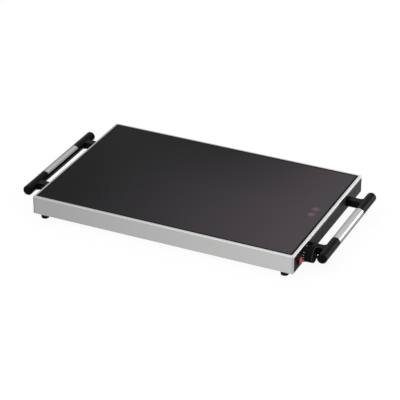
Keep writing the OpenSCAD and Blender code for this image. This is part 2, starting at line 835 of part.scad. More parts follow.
module switch_body() {
    color([0.08, 0.08, 0.08]) translate([0, switch_y, control_z]) difference() {
        union() {
            translate([panel_out_x + frame_t / 2, 0, 0])
                along_x(frame_t) rounded_rect(frame_w, frame_h, 1.6);
            translate([can_back_x, -can_half_w, -can_half_h])
                cube([can_l + eps, 2 * can_half_w, 2 * can_half_h]);
            for (z = [-6, 0, 6])
                translate([can_back_x - blade_l, -0.4, z - 2.4]) cube([blade_l + eps, 0.8, 4.8]);
        }
        translate([rocker_x - 4.5, -rocker_w / 2 - fit_gap, -can_half_h + can_wall])
            cube([20, rocker_w + 2 * fit_gap, 2 * (can_half_h - can_wall)]);
        translate([panel_out_x - 0.01, -rocker_w / 2 - fit_gap, -window_half_h])
            cube([frame_t + 1, rocker_w + 2 * fit_gap, 2 * window_half_h]);
        translate([rocker_x, 0, 0]) rotate([90, 0, 0])
            cylinder(h = 2 * (rocker_w / 2 + rocker_pin_l + fit_gap),
                     d = rocker_pin_d + 2 * run_clear, center = true);
    }
}

// ---- electrical fittings ----

// A tray on the pan's end wall with a light tube for each pilot lamp
module lamp_holder() {
    shelf_z = glass_under_z - 9;
    shelf_l = lamp_x + lamp_tube_d / 2 - pan_right_x;
    tube_h = glass_under_z - 0.4 - shelf_z;
    color("ivory") difference() {
        union() {
            translate([pan_right_x, -lamp_pitch / 2 - lamp_tube_d / 2, shelf_z])
                cube([shelf_l - 2, lamp_pitch + lamp_tube_d, 1.6]);
            translate([pan_right_x, -lamp_pitch / 2 - lamp_tube_d / 2, pan_z])
                cube([1.6, lamp_pitch + lamp_tube_d, shelf_z - pan_z + 0.4]);
            for (y = [-1, 1]) translate([lamp_x, y * lamp_pitch / 2, shelf_z])
                cylinder(h = tube_h, d = lamp_tube_d);
        }
        for (y = [-1, 1]) translate([lamp_x, y * lamp_pitch / 2, shelf_z]) {
            translate([0, 0, 1.6]) cylinder(h = tube_h, d = lamp_tube_d - 2.4);
            translate([0, 0, -1]) linear_extrude(3) stadium(7.6, 3.4);
        }
    }
}

module pilot_lamps() {
    color([0.9, 0.3, 0.2]) for (y = [-1, 1])
        translate([lamp_x, y * lamp_pitch / 2, glass_under_z - 7.4]) {
            cylinder(h = 3, d = lamp_d);
            translate([0, 0, lamp_d / 2 - 1.2]) sphere(d = lamp_d - 2.4);
        }
}

// A strap that holds a round piece lying along X against the pan above it
module pan_clip(d) {
    wall = 1;
    ear = 8;
    difference() {
        union() {
            translate([-5, -d / 2 - wall, -d / 2 - wall]) cube([10, d + 2 * wall, d + wall]);
            translate([-5, -d / 2 - ear, d / 2 - wall]) cube([10, d + 2 * ear, wall]);
        }
        translate([-6, 0, 0]) rod(12, d + 2 * run_clear);
        translate([-6, -d / 2 + wall, 0]) cube([12, d - 2 * wall, d]);
    }
}

module fuse_clip() {
    color("silver") translate([lead_x, fuse_y, fuse_z]) rotate(90) pan_clip(fuse_d);
}

module thermal_fuse() {
    color("white") translate([lead_x, fuse_y, fuse_z]) rotate(90) {
        translate([-9, 0, 0]) rod(18, fuse_d);
        translate([-fuse_lead, 0, 0]) rod(2 * fuse_lead, 1.4);
    }
}

module bulb_clip() {
    color("silver") translate([bulb_x + bulb_l / 2, bulb_y, bulb_z]) pan_clip(bulb_d);
}

// The thermostat's filled bulb and the thin tube that joins it to the thermostat
module sensor_bulb() {
    bulb_end = bulb_x + bulb_l;
    tube_z = control_z - 6;
    color("peru") {
        translate([bulb_x, bulb_y, bulb_z]) rod(bulb_l, bulb_d);
        wire([[bulb_end - eps, bulb_y, bulb_z], [bulb_end + 6, bulb_y, bulb_z],
              [pan_right_x + 4, bulb_y - 30, tube_z + 2], [thermo_back_x - 6, knob_y, tube_z],
              [thermo_back_x, knob_y, tube_z]], capillary_d);
    }
}

module terminal_block() {
    color("ivory") translate([block_x, block_y, base_top_z]) difference() {
        union() {
            translate([-block_w / 2, -block_l / 2, 0]) cube([block_w, block_l, block_h - 4]);
            for (i = [-1 : 1]) translate([i * pole_pitch - 4, -block_l / 2 + 3, 0])
                cube([8, block_l - 6, block_h]);
        }
        for (i = [-1 : 1]) {
            translate([i * pole_pitch, 0, 5]) rotate([90, 0, 0])
                cylinder(h = block_l + 2, d = 4.4, center = true);
            for (y = [-1, 1]) translate([i * pole_pitch, y * 4, 5]) cylinder(h = block_h, d = 3);
        }
    }
}

module earth_stud() {
    color("gold") translate([earth_x, earth_y, 0]) {
        translate([0, 0, under_z]) pan_screw(14, screw_d, head_d, head_h);
        translate([0, 0, base_top_z]) cylinder(h = 3.2, d = 8.1, $fn = 6);
        translate([0, 0, base_top_z + 7]) cylinder(h = 3.2, d = 8.1, $fn = 6);
    }
}

// The gland is an open bush: the supply lead is not part of the model
module cord_gland() {
    color([0.07, 0.07, 0.07]) translate([gland_x, side_y, gland_z]) rotate([-90, 0, 0])
        difference() {
            union() {
                cylinder(h = gland_collar_t - 0.8, d = gland_collar_d);
                translate([0, 0, gland_collar_t - 0.8 - 0.01])
                    cylinder(h = 0.81, d1 = gland_collar_d, d2 = gland_collar_d - 2.4);
                translate([0, 0, -gland_neck_l]) cylinder(h = gland_neck_l + eps, d = gland_neck_d);
            }
            translate([0, 0, -gland_neck_l - 1])
                cylinder(h = gland_neck_l + gland_collar_t + 2, d = gland_bore);
        }
}

module gland_nut() {
    color([0.1, 0.1, 0.1]) translate([gland_x, inner_y, gland_z]) rotate([90, 0, 0])
        difference() {
            cylinder(h = 5, d = gland_collar_d, $fn = 6);
            translate([0, 0, -1]) cylinder(h = 7, d = gland_neck_d);
        }
}

// Every lead between the terminal block, switch, thermostat, fuse, heater and lamps
module wiring() {
    out_y = block_y - block_l / 2 - 8;
    block_z = base_top_z + 5;
    neutral = [block_x - pole_pitch, out_y, block_z];
    blade_x = can_back_x - blade_l;
    tab_x = thermo_back_x - tab_l;
    in_tab = [tab_x, knob_y - tab_y, tab_z];
    out_tab = [tab_x, knob_y + tab_y, tab_z];
    near_tab = [tab_x - 3, knob_y - tab_y, tab_z];
    lamp_y = lamp_pitch / 2;
    lamp_z = glass_under_z - 7.4;
    link_z = lamp_z - 5;
    color("firebrick") {
        wire([[block_x, out_y + 12, block_z], [block_x, out_y, block_z], [block_x, out_y, wire_z],
              [block_x, switch_y, wire_z], [block_x, switch_y, control_z],
              [blade_x, switch_y, control_z]]);
        wire([[blade_x, switch_y, control_z + 6], [blade_x - 6, switch_y, control_z + 6],
              near_tab, in_tab]);
        wire([out_tab, [tab_x - 10, knob_y + tab_y, tab_z], [tab_x - 10, fuse_y + 26, fuse_z],
              [lead_x, fuse_y + 26, fuse_z], [lead_x, fuse_y + fuse_lead, fuse_z]]);
        wire([[lead_x, fuse_y - fuse_lead, fuse_z], [lead_x, -lead_y, fuse_z],
              [lead_x, -lead_y, track_z]]);
        wire([[neutral[0], out_y + 12, block_z], neutral, [lead_x, out_y, wire_z],
              [lead_x, lead_y, wire_z], [lead_x, lead_y, track_z]]);
        wire([[block_x + pole_pitch, out_y + 12, block_z], [block_x + pole_pitch, out_y + 2, block_z],
              [earth_x, earth_y + 2, base_top_z + 5.2]]);
        wire([[lamp_x + 2, lamp_y, lamp_z], [lamp_x + 2, lamp_y, link_z],
              [lamp_x + 2, -lamp_y, link_z], [lamp_x + 2, -lamp_y, lamp_z]]);
        wire([neutral, [block_x + 4, out_y - 22, link_z], [block_x + 4, 0, link_z],
              [lamp_x + 2, 0, link_z]]);
        wire([[lamp_x - 2, -lamp_y, lamp_z], [lamp_x - 2, -lamp_y, link_z + 1],
              [lamp_x - 2, knob_y + tab_y + 6, link_z + 1], [tab_x - 3, knob_y + tab_y, tab_z],
              out_tab]);
        wire([[lamp_x - 2, lamp_y, lamp_z], [lamp_x - 2, lamp_y, link_z - 4],
              [lamp_x - 4, knob_y - tab_y, link_z - 4], near_tab]);
    }
}

housing();
glass_plate();
glass_seal();
left_end_panel();
right_end_panel();
base_plate();
heating_track();
mica_sheet();
insulation_blanket();
reflector_pan();
pan_screws();
left_grip_tube();
right_grip_tube();
left_front_bracket();
left_rear_bracket();
right_front_bracket();
right_rear_bracket();
bracket_screws();
bracket_washers();
thermostat_body();
thermostat_shaft();
thermostat_nut();
control_knob();
switch_body();
switch_rocker();
left_front_foot();
left_rear_foot();
right_front_foot();
right_rear_foot();
foot_screws();
foot_nuts();
base_screws();
panel_screws();
lamp_holder();
pilot_lamps();
thermal_fuse();
fuse_clip();
sensor_bulb();
bulb_clip();
terminal_block();
earth_stud();
cord_gland();
gland_nut();
wiring();
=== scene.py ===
"""Looks of the electric warming tray: materials, floor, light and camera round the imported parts."""
import math

import bpy
from mathutils import Matrix, Vector


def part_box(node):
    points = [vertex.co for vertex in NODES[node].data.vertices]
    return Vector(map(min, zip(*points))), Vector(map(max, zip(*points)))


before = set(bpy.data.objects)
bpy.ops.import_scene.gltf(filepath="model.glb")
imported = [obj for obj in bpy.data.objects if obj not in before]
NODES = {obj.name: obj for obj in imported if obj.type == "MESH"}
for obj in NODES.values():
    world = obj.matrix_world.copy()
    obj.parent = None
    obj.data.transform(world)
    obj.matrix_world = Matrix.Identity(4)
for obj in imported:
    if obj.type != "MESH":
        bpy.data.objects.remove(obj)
bpy.context.scene.view_settings.view_transform = "Standard"


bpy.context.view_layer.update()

# ---- camera ----

CAMERA_PLACE = (1.45398, -3.11789, 1.89934)
CAMERA_RIGHT = Vector((0.90606193, 0.42314023, 0.00203282))
CAMERA_UP = Vector((-0.20482503, 0.43437397, 0.87713509))
CAMERA_BACK = Vector((0.37026814, -0.79515508, 0.48023943))
FOCAL_PIXELS = 1818.388
PHOTO_PIXELS = 400
SENSOR_MM = 36.0

camera_data = bpy.data.cameras.new("camera")
camera_data.sensor_width = SENSOR_MM
camera_data.lens = FOCAL_PIXELS / PHOTO_PIXELS * SENSOR_MM
camera_data.clip_start = 0.1
camera_data.clip_end = 60.0
camera = bpy.data.objects.new("camera", camera_data)
turn = Matrix((CAMERA_RIGHT, CAMERA_UP, CAMERA_BACK)).transposed()
camera.matrix_world = Matrix.Translation(CAMERA_PLACE) @ turn.to_4x4()
bpy.context.scene.collection.objects.link(camera)
bpy.context.scene.camera = camera

# ---- material building ----


class Mat:
    """A material's node tree, with short calls for the nodes used most."""

    def __init__(self, name, color, roughness, metallic=0.0, **sockets):
        self.mat = bpy.data.materials.new(name)
        self.mat.use_nodes = True
        self.tree = self.mat.node_tree
        self.bsdf = self.tree.nodes["Principled BSDF"]
        self.color = color
        self.roughness = roughness
        self.bsdf.inputs["Base Color"].default_value = (*color, 1.0)
        self.bsdf.inputs["Roughness"].default_value = roughness
        self.bsdf.inputs["Metallic"].default_value = metallic
        for key, value in sockets.items():
            self.bsdf.inputs[key.replace("_", " ")].default_value = value
        self.place = self.node("ShaderNodeTexCoord").outputs["Object"]
        self.height = None

    def node(self, kind, **settings):
        made = self.tree.nodes.new(kind)
        for key, value in settings.items():
            setattr(made, key, value)
        return made

    def link(self, source, target):
        self.tree.links.new(source, target)

    def feed(self, target, value):
        if isinstance(value, bpy.types.NodeSocket):
            self.link(value, target)
        else:
            target.default_value = value

    def math(self, operation, first, second=0.0, third=0.0):
        made = self.node("ShaderNodeMath", operation=operation)
        for socket, value in zip(made.inputs, (first, second, third)):
            self.feed(socket, value)
        return made.outputs[0]

    def scaled(self, scale):
        """The object's coordinates, stretched for brushed or drawn textures."""
        made = self.node("ShaderNodeMapping")
        made.inputs["Scale"].default_value = scale
        self.link(self.place, made.inputs["Vector"])
        return made.outputs[0]

    def noise(self, scale, detail=3.0, place=None, roughness=0.5):
        made = self.node("ShaderNodeTexNoise")
        made.inputs["Scale"].default_value = scale
        made.inputs["Detail"].default_value = detail
        made.inputs["Roughness"].default_value = roughness
        self.link(place or self.place, made.inputs["Vector"])
        return made.outputs["Fac"]

    def cells(self, scale, output="Distance"):
        made = self.node("ShaderNodeTexVoronoi")
        made.inputs["Scale"].default_value = scale
        self.link(self.place, made.inputs["Vector"])
        return made.outputs[output]

    def spread(self, value, low, high, from_low=0.3, from_high=0.7):
        made = self.node("ShaderNodeMapRange")
        self.feed(made.inputs["Value"], value)
        made.inputs["From Min"].default_value = from_low
        made.inputs["From Max"].default_value = from_high
        made.inputs["To Min"].default_value = low
        made.inputs["To Max"].default_value = high
        return made.outputs["Result"]

    def mix(self, factor, first, second):
        made = self.node("ShaderNodeMix", data_type="RGBA")
        self.feed(made.inputs["Factor"], factor)
        for socket, value in ((made.inputs[6], first), (made.inputs[7], second)):
            self.feed(socket, (*value, 1.0) if isinstance(value, tuple) else value)
        return made.outputs[2]

    def axes(self):
        made = self.node("ShaderNodeSeparateXYZ")
        self.link(self.place, made.inputs[0])
        return made.outputs

    def tint(self, value, spread):
        """Varies the base colour by a share of itself with a texture value."""
        low = tuple(max(0.0, c * (1 - spread)) for c in self.color)
        high = tuple(min(1.0, c * (1 + spread)) for c in self.color)
        self.set_color(self.mix(self.spread(value, 0.0, 1.0), low, high))

    def set_color(self, value):
        self.link(value, self.bsdf.inputs["Base Color"])

    def gloss(self, value, spread, from_low=0.3, from_high=0.7):
        low, high = self.roughness - spread, self.roughness + spread
        varied = self.spread(value, low, high, from_low, from_high)
        self.link(varied, self.bsdf.inputs["Roughness"])

    def bump(self, value, strength, distance):
        made = self.node("ShaderNodeBump")
        made.inputs["Strength"].default_value = strength
        made.inputs["Distance"].default_value = distance
        self.link(value, made.inputs["Height"])
        if self.height is not None:
            self.link(self.height, made.inputs["Normal"])
        self.height = made.outputs["Normal"]
        self.link(self.height, self.bsdf.inputs["Normal"])


def dress(material, *names):
    for name in names:
        mesh = NODES[name].data
        if not mesh.materials:
            mesh.materials.append(material.mat)
        for slot in range(len(mesh.materials)):
            mesh.materials[slot] = material.mat


def within(m, value, low, high):
    """1 where a value lies between two limits."""
    above = m.math("GREATER_THAN", value, low)
    return m.math("MULTIPLY", above, m.math("LESS_THAN", value, high))


def length_of(m, first, second):
    """The length of a flat vector with these two parts."""
    squares = m.math("ADD", m.math("MULTIPLY", first, first), m.math("MULTIPLY", second, second))
    return m.math("SQRT", squares)


def spot(m, center, radius, soft):
    """1 inside a flat round spot round an upright line, fading over its edge."""
    x, y, _ = m.axes()
    away = length_of(m, m.math("SUBTRACT", x, center.x), m.math("SUBTRACT", y, center.y))
    return m.spread(away, 1.0, 0.0, radius - soft, radius + soft)


# ---- housing ----

housing_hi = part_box("housing")[1]
HALF_L = housing_hi.x
HALF_D = housing_hi.y
TOP_Z = housing_hi.z

# painted reflection: the steel is darker to the left, lighter to the right and lighter still on the
# right end
STEEL_SHADED_LEFT = (0.375, 0.374, 0.373)
STEEL_LIT_RIGHT = (0.545, 0.543, 0.540)
STEEL_HIGHLIT_RIGHT_END = (0.615, 0.613, 0.610)
# painted shade on the left end, fading out towards its front corner
END_SHADE_LEFT = 0.80
END_SHADE_FROM_Y = -0.16
END_SHADE_FULL_Y = -0.06
HAIR_SHADE = (0.93, 1.07)
# painted shade: the upright lips of the ends, below their top edge, are darker
LIP_SHADE = 0.6
LIP_TOP_Z = TOP_Z - 0.0016
SEAM_SHADE = 0.05
SEAM_X = HALF_L - 0.00325
SEAM_HALF_W = 0.0003
SEAM_DEPTH = 0.0011


def brushed(name, roughness):
    """Steel brushed along the tray, and along its depth on the two ends. Its colour holds painted
    reflection, darker to the left and lighter on the right end, and painted shade on the left end and
    on the upright lips of the ends.
    """
    m = Mat(name, STEEL_LIT_RIGHT, roughness, 1.0)
    x, y, z = m.axes()
    to_end = m.math("SUBTRACT", HALF_L, m.math("ABSOLUTE", x))
    to_side = m.math("SUBTRACT", HALF_D, m.math("ABSOLUTE", y))
    on_end = m.math("LESS_THAN", to_end, to_side)
    long_hair = m.noise(1.0, 4.0, m.scaled((9, 2200, 2200)), 0.65)
    cross_hair = m.noise(1.0, 4.0, m.scaled((2200, 9, 2200)), 0.65)
    hair = m.math("ADD", m.math("MULTIPLY", on_end, cross_hair),
                  m.math("MULTIPLY", m.math("SUBTRACT", 1.0, on_end), long_hair))
    # painted reflection: darker steel to the left, lighter to the right
    sheet_with_painted_light = m.mix(m.spread(x, 0.0, 1.0, -HALF_L, HALF_L), STEEL_SHADED_LEFT, STEEL_LIT_RIGHT)
    # painted shade: the left end darkened, fading out towards its front corner
    left_end = m.math("MULTIPLY", on_end, m.math("LESS_THAN", x, 0.0))
    left_end = m.math("MULTIPLY", left_end,
                      m.spread(y, 0.0, 1.0, END_SHADE_FROM_Y, END_SHADE_FULL_Y))
    right_end = m.math("MULTIPLY", on_end, m.math("GREATER_THAN", x, 0.0))
    # painted highlight: the right end is lighter
    sheet_with_painted_light = m.mix(right_end, sheet_with_painted_light, STEEL_HIGHLIT_RIGHT_END)
    # painted shade on the upright lips of the ends
    lip = m.math("MULTIPLY", on_end, m.math("LESS_THAN", z, LIP_TOP_Z))
    off_seam = m.math("ABSOLUTE", m.math("SUBTRACT", m.math("ABSOLUTE", x), SEAM_X))
    seam = m.math("MULTIPLY", m.math("LESS_THAN", off_seam, SEAM_HALF_W),
                  m.math("LESS_THAN", to_side, SEAM_DEPTH))
    # shade multiplies the painted shade of the left end and the lips with the brushed grain and the
    # dark seam lines
    shade = m.math("MULTIPLY", m.spread(left_end, 1.0, END_SHADE_LEFT, 0.0, 1.0),
                   m.spread(hair, *HAIR_SHADE))
    shade = m.math("MULTIPLY", shade, m.spread(lip, 1.0, LIP_SHADE, 0.0, 1.0))
    shade = m.math("MULTIPLY", shade, m.spread(seam, 1.0, SEAM_SHADE, 0.0, 1.0))
    m.set_color(m.mix(shade, (0.0, 0.0, 0.0), sheet_with_painted_light))
    m.gloss(hair, 0.06)
    m.bump(hair, 0.16, 0.00003)
    m.bump(m.noise(7.0, 1.0), 0.03, 0.0006)
    return m


dress(brushed("brushed_steel", 0.38), "housing")

# ---- glass with the pilot lamps' light painted on it as a glow, a painted reflection paler towards the right front and darker towards the back, dark at its edge ----

GLASS_DARK = (0.003, 0.003, 0.0036)
# painted reflection: the colour the glass takes on towards the right front
GLASS_PAINTED_REFLECTION = (0.056, 0.047, 0.055)
PALE_FROM_X = -0.30
PALE_FULL_X = 0.31
PALE_POWER = 1.4
MOTTLE = 0.03
BACK_FALL_MIDDLE = 0.75
BACK_FALL_RIGHT = 0.10
BACK_FALL_RIGHT_X = 0.24
EDGE_INNER = 0.0033
EDGE_OUTER = 0.0025
# painted lamp light: the glass glows as emission over the two pilot lamps beneath it
GLOW_RADIUS = 0.0068
GLOW_SOFT = 0.0040
GLOW_SHIFT = Vector((-0.0009, -0.0028, 0.0))
GLOW_BAND = 0.0012
REAR_GLOW_COLOR = (0.108, 0.040, 0.030)
FRONT_GLOW_COLOR = (0.118, 0.034, 0.044)

glass = Mat("dark_glass", GLASS_DARK, 0.07, Specular_IOR_Level=0.03, IOR=1.5)
gx, gy, gz = glass.axes()
# painted reflection share: rising to the right, lowered towards the back except on the right, with a
# random mottle
reflection_and_mottle = glass.math("POWER", glass.spread(gx, 0.0, 1.0, PALE_FROM_X, PALE_FULL_X), PALE_POWER)
back_painted_shade = glass.math("MULTIPLY", glass.spread(gy, 0.0, 1.0, 0.0, HALF_D),
                  glass.spread(gx, BACK_FALL_MIDDLE, BACK_FALL_RIGHT, 0.0, BACK_FALL_RIGHT_X))
reflection_and_mottle = glass.math("MULTIPLY", reflection_and_mottle, glass.math("SUBTRACT", 1.0, back_painted_shade))
reflection_and_mottle = glass.math("ADD", reflection_and_mottle, glass.spread(glass.noise(3.0, 2.0), -MOTTLE, MOTTLE))
body = glass.mix(reflection_and_mottle, GLASS_DARK, GLASS_PAINTED_REFLECTION)
glass_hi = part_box("glass_plate")[1]
edges = [glass.spread(glass.math("ABSOLUTE", along), 0.0, 1.0, end - EDGE_INNER, end - EDGE_OUTER)
         for along, end in ((gx, glass_hi.x), (gy, glass_hi.y))]
glass.set_color(glass.mix(glass.math("MAXIMUM", *edges), body, (0.0, 0.0, 0.0)))

lamp_lo, lamp_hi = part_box("pilot_lamps")
lamp_x = (lamp_lo.x + lamp_hi.x) / 2
lamp_r = (lamp_hi.x - lamp_lo.x) / 2
# painted lamp light on the glass, one soft spot over each pilot lamp
rear_glow, front_glow = (spot(glass, Vector((lamp_x, y, 0.0)) + GLOW_SHIFT, GLOW_RADIUS, GLOW_SOFT)
                         for y in (lamp_hi.y - lamp_r, lamp_lo.y + lamp_r))
glow_color = glass.mix(rear_glow, FRONT_GLOW_COLOR, REAR_GLOW_COLOR)
glass.link(glow_color, glass.bsdf.inputs["Emission Color"])
upper = glass.math("GREATER_THAN", gz, TOP_Z - GLOW_BAND)
glow = glass.math("MULTIPLY", glass.math("ADD", rear_glow, front_glow), upper)
glass.link(glow, glass.bsdf.inputs["Emission Strength"])
glass.gloss(glass.noise(60.0, 3.0), 0.015)
glass.bump(glass.noise(2.2, 1.0), 0.02, 0.0008)
dress(glass, "glass_plate")

seal = Mat("sealing_rubber", (0.004, 0.004, 0.0043), 0.62, Specular_IOR_Level=0.05)
seal.tint(seal.noise(900.0, 2.0), 0.25)
seal.bump(seal.noise(1600.0, 2.0), 0.25, 0.00006)
dress(seal, "glass_seal")

# ---- plastics ----


def moulded(name, color, roughness, grain=0.25, sheen=0.5):
    """Moulded plastic: fine erosion grain, slow flow marks and faint scuffs."""
    m = Mat(name, color, roughness, Specular_IOR_Level=sheen)
    m.tint(m.noise(38.0, 3.0), 0.10)
    m.gloss(m.noise(70.0, 4.0), 0.06)
    m.bump(m.cells(2600.0), grain, 0.00004)
    m.bump(m.noise(18.0, 2.0), 0.05, 0.0004)
    return m


# painted shade and light: the end panels go from near black at the front to lighter at the back
PANEL_FRONT_PAINTED_SHADE = (0.0005, 0.0005, 0.0006)
PANEL_BACK_PAINTED_LIGHT = (0.033, 0.033, 0.034)
PANEL_MOTTLE = 0.05

panel = moulded("panel_plastic", (0.016, 0.016, 0.017), 0.50, 0.25, 0.045)
# painted shade towards the front and light towards the back, with a random mottle
painted_light_and_mottle = panel.math("ADD", panel.spread(panel.axes()[1], 0.0, 1.0, -HALF_D, HALF_D),
                     panel.spread(panel.noise(38.0, 3.0), -PANEL_MOTTLE, PANEL_MOTTLE))
panel.set_color(panel.mix(painted_light_and_mottle, PANEL_FRONT_PAINTED_SHADE, PANEL_BACK_PAINTED_LIGHT))
dress(panel, "left_end_panel", "right_end_panel")

handle = moulded("handle_plastic", (0.0025, 0.0025, 0.0028), 0.26, 0.12, 0.045)
dress(handle, "left_front_bracket", "left_rear_bracket",
      "right_front_bracket", "right_rear_bracket")
dress(moulded("switch_plastic", (0.012, 0.012, 0.013), 0.38, 0.25, 0.20), "switch_body")
dress(moulded("gland_plastic", (0.022, 0.022, 0.024), 0.45), "cord_gland", "gland_nut")

# ---- knob with printed marks, painted shade on its face and a painted highlight round the face's edge ----

knob_lo, knob_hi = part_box("control_knob")
KNOB_Y = (knob_lo.y + knob_hi.y) / 2
KNOB_Z = (knob_lo.z + knob_hi.z) / 2
KNOB_R = (knob_hi.y - knob_lo.y) / 2
FACE_R = KNOB_R - 0.0012
FACE_EDGE_W = 0.0008
FACE_DEPTH = 0.0010
SKIRT_FRONT = knob_lo.x + 0.005
TICK_INNER = 0.0010
TICK_BACK = 0.0034
TICK_FRONT = 0.0002
OFF_ANGLE = 90.0
SCALE_START = 146.0
SCALE_STEP = 17.7
SCALE_MARKS = 15
TICK_ANGLES = [OFF_ANGLE] + [SCALE_START + SCALE_STEP * k for k in range(SCALE_MARKS)]
TICK_HALF_ANGLE = math.radians(1.5)
INK = (0.42, 0.42, 0.41)
GRIP_DARK = (0.005, 0.005, 0.0055)
GRIP_PALE = (0.008, 0.008, 0.0085)
# painted shade: the knob's face is a darker copy of its plastic
FACE_PAINTED_SHADE = (0.001, 0.001, 0.0012)
# painted highlight: a lighter ring round the edge of the face
FACE_EDGE_PAINTED_HIGHLIGHT = (0.055, 0.055, 0.057)

knob = moulded("knob_plastic", (0.004, 0.004, 0.0045), 0.40, 0.2, 0.004)
kx, ky, kz = knob.axes()
across = knob.math("SUBTRACT", ky, KNOB_Y)
above = knob.math("SUBTRACT", kz, KNOB_Z)
angle = knob.math("ARCTAN2", above, across)
away = length_of(knob, across, above)
on_skirt = knob.math("MULTIPLY", knob.math("GREATER_THAN", away, KNOB_R - TICK_INNER),
                     within(knob, kx, SKIRT_FRONT - TICK_BACK, SKIRT_FRONT + TICK_FRONT))
ticks = 0.0
for degrees in TICK_ANGLES:
    turned = knob.math("SUBTRACT", angle, math.radians(degrees))
    near = knob.math("ABSOLUTE", knob.math("WRAP", turned, -math.pi, math.pi))
    ticks = knob.math("MAXIMUM", ticks, knob.math("LESS_THAN", near, TICK_HALF_ANGLE))
marks = knob.math("MULTIPLY", ticks, on_skirt)
at_face = knob.math("GREATER_THAN", kx, knob_hi.x - FACE_DEPTH)
on_face = knob.math("MULTIPLY", knob.math("LESS_THAN", away, FACE_R - FACE_EDGE_W), at_face)
# painted highlight ring round the edge of the face
face_edge_highlight = knob.math("MULTIPLY", knob.math("GREATER_THAN", away, FACE_R - FACE_EDGE_W), at_face)
plain = knob.mix(knob.noise(38.0, 3.0), GRIP_DARK, GRIP_PALE)
# painted shade on the face
plain = knob.mix(on_face, plain, FACE_PAINTED_SHADE)
plain = knob.mix(face_edge_highlight, plain, FACE_EDGE_PAINTED_HIGHLIGHT)
knob.set_color(knob.mix(marks, plain, INK))
dress(knob, "control_knob")

# ---- rocker: red, with painted shade as black on its upper part and on its root inside the frame ----

ROCKER_RED = (0.62, 0.095, 0.082)
# painted shade: the colour of the rocker's upper part and root
ROCKER_PAINTED_SHADE = (0.012, 0.012, 0.013)
rocker_lo, rocker_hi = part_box("switch_rocker")
RED_TOP_Z = (rocker_lo.z + rocker_hi.z) / 2 + 0.0030
RED_ROOT_X = rocker_hi.x - 0.0036

rocker = Mat("rocker_red", ROCKER_RED, 0.32, Specular_IOR_Level=0.4)
rx, _, rz = rocker.axes()
# painted shade: red only below RED_TOP_Z and outside RED_ROOT_X, black elsewhere
red = rocker.math("MULTIPLY", rocker.math("LESS_THAN", rz, RED_TOP_Z),
                  rocker.math("GREATER_THAN", rx, RED_ROOT_X))
flecks = rocker.spread(rocker.noise(260.0, 3.0), 0.0, 0.10)
mottled = rocker.mix(flecks, ROCKER_RED, (0.0, 0.0, 0.0))
rocker.set_color(rocker.mix(red, ROCKER_PAINTED_SHADE, mottled))
rocker.bump(rocker.cells(3000.0), 0.10, 0.00003)
dress(rocker, "switch_rocker")

# ---- metals ----

# painted shade: the left tube is a darker copy of the right tube's steel
TUBE_STEEL_SHADED_LEFT = (0.48, 0.48, 0.485)
TUBE_STEEL_LIT_RIGHT = (0.55, 0.548, 0.55)
# painted reflections: a dark band where the tube mirrors the dark end panel, and a grey non-metal
# band for a duller reflection
TUBE_PAINTED_DARK_REFLECTION = (0.014, 0.014, 0.015)
TUBE_PAINTED_GREY_REFLECTION = (0.61, 0.605, 0.61)
DARK_REFLECTION_FADE = 38
GREY_REFLECTION_FADE = 8


def grip_tube(name, steel_color, dark_reflection_to, grey_reflection_to):
    """A steel tube with painted reflection in three bands, by the angle from the side that faces the
    tray.

    It carries a painted dark reflection up to the first angle given, in degrees, a painted grey
    reflection on non-metal up to the second, and polished metal beyond.
    """
    m = Mat("polished_" + name, steel_color, 0.13, 1.0, Specular_Tint=(0.25, 0.25, 0.25, 1.0))
    low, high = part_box(name)
    side = math.copysign(1.0, low.x)
    x, _, z = m.axes()
    inward = m.math("MULTIPLY", m.math("SUBTRACT", x, (low.x + high.x) / 2), -side)
    up = m.math("SUBTRACT", z, (low.z + high.z) / 2)
    angle = m.math("ABSOLUTE", m.math("ARCTAN2", up, inward))
    rings = m.noise(1.0, 3.0, m.scaled((60, 2600, 60)), 0.6)
    # clear is 1 past the painted dark reflection
    clear = m.spread(angle, 0.0, 1.0,
                     math.radians(dark_reflection_to - DARK_REFLECTION_FADE), math.radians(dark_reflection_to))
    polished = m.spread(angle, 0.0, 1.0,
                        math.radians(grey_reflection_to - GREY_REFLECTION_FADE), math.radians(grey_reflection_to))
    # painted grey reflection on non-metal, then the steel
    grey_reflection_and_steel = m.mix(polished, TUBE_PAINTED_GREY_REFLECTION, steel_color)
    m.set_color(m.mix(m.math("MULTIPLY", clear, m.spread(rings, 0.95, 1.05)), TUBE_PAINTED_DARK_REFLECTION, grey_reflection_and_steel))
    m.link(polished, m.bsdf.inputs["Metallic"])
    m.gloss(rings, 0.04)
    m.bump(rings, 0.08, 0.00002)
    dress(m, name)


grip_tube("left_grip_tube", TUBE_STEEL_SHADED_LEFT, 62, 8)
grip_tube("right_grip_tube", TUBE_STEEL_LIT_RIGHT, 30, 68)

zinc = Mat("galvanised_sheet", (0.56, 0.57, 0.58), 0.45, 1.0)
zinc.tint(zinc.cells(90.0, "Color"), 0.10)
zinc.gloss(zinc.cells(90.0), 0.10, 0.0, 0.8)
zinc.bump(zinc.noise(60.0, 3.0), 0.08, 0.0002)
dress(zinc, "base_plate", "reflector_pan", "thermostat_body")

plated = Mat("plated_screw", (0.62, 0.62, 0.61), 0.30, 1.0)
plated.tint(plated.noise(400.0, 3.0), 0.08)
plated.gloss(plated.noise(900.0, 3.0), 0.08)
plated.bump(plated.noise(1800.0, 2.0), 0.10, 0.00003)
dress(plated, "pan_screws", "bracket_screws", "bracket_washers", "thermostat_nut", "foot_screws",
      "foot_nuts", "base_screws", "panel_screws", "fuse_clip", "bulb_clip")

brass = Mat("turned_brass", (0.72, 0.53, 0.25), 0.28, 1.0)
brass.tint(brass.noise(1.0, 3.0, brass.scaled((3000, 80, 80))), 0.08)
brass.bump(brass.noise(1.0, 3.0, brass.scaled((3000, 80, 80))), 0.10, 0.00002)
dress(brass, "thermostat_shaft", "earth_stud")

